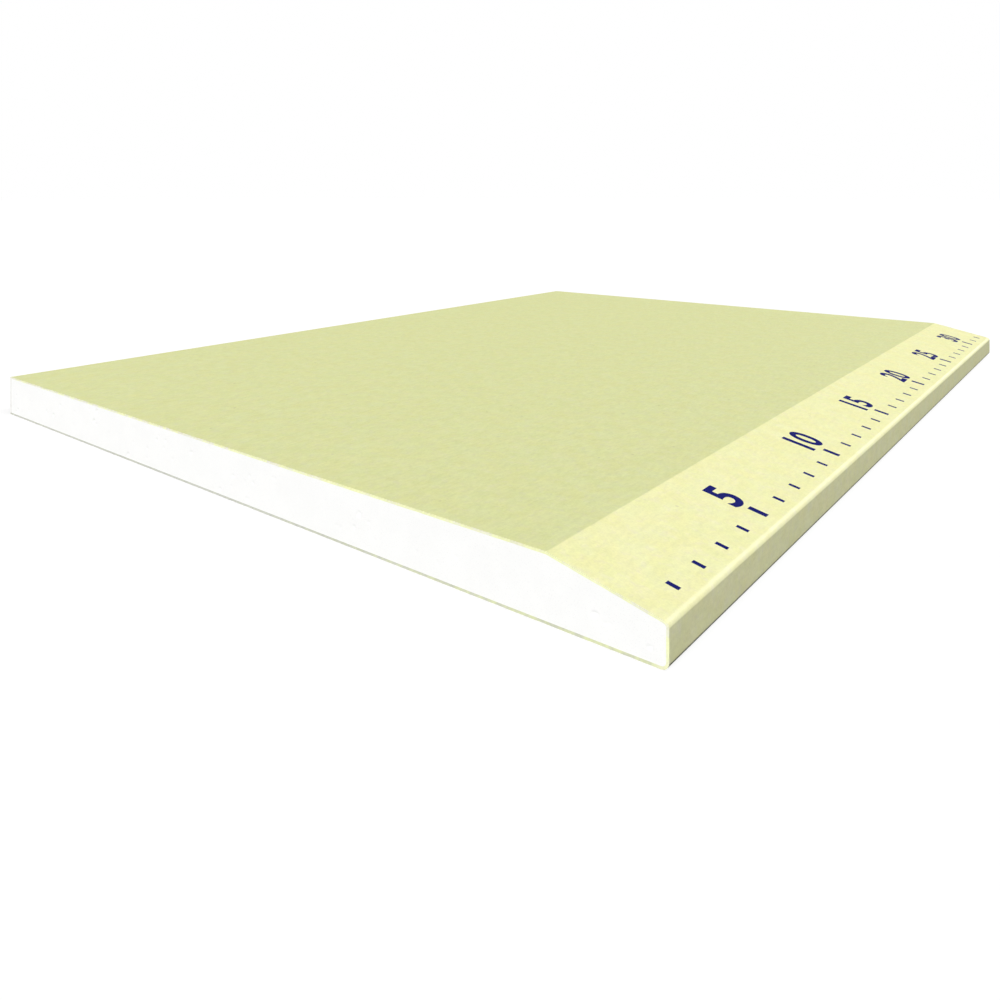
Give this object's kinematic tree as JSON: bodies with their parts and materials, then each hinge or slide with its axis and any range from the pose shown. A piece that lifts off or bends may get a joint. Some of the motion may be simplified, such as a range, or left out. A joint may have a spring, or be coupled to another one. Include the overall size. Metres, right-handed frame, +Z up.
{
  "type": "drywall sheet",
  "caption": "Flat tapered-edge drywall sheet: gypsum core faced with pale yellow paper that wraps the tapered edge and folds under it to meet a grey back paper.",
  "frame": {"origin": "middle of the back of the sheet, level with the surface that it lies on", "axes": "+X across the sheet to the tapered edge, +Y along the tapered edge, +Z up out of the face"},
  "size_m": [0.245, 0.328, 0.0125],
  "materials": {
    "gypsum": "matt white foamed gypsum, sawn",
    "face_paper": "matt pale yellow liner paper",
    "back_paper": "matt grey liner paper"
  },
  "bodies": {
    "root": {"gypsum_core": "gypsum", "face_paper": "face_paper", "back_paper": "back_paper"}
  },
  "joints": []
}
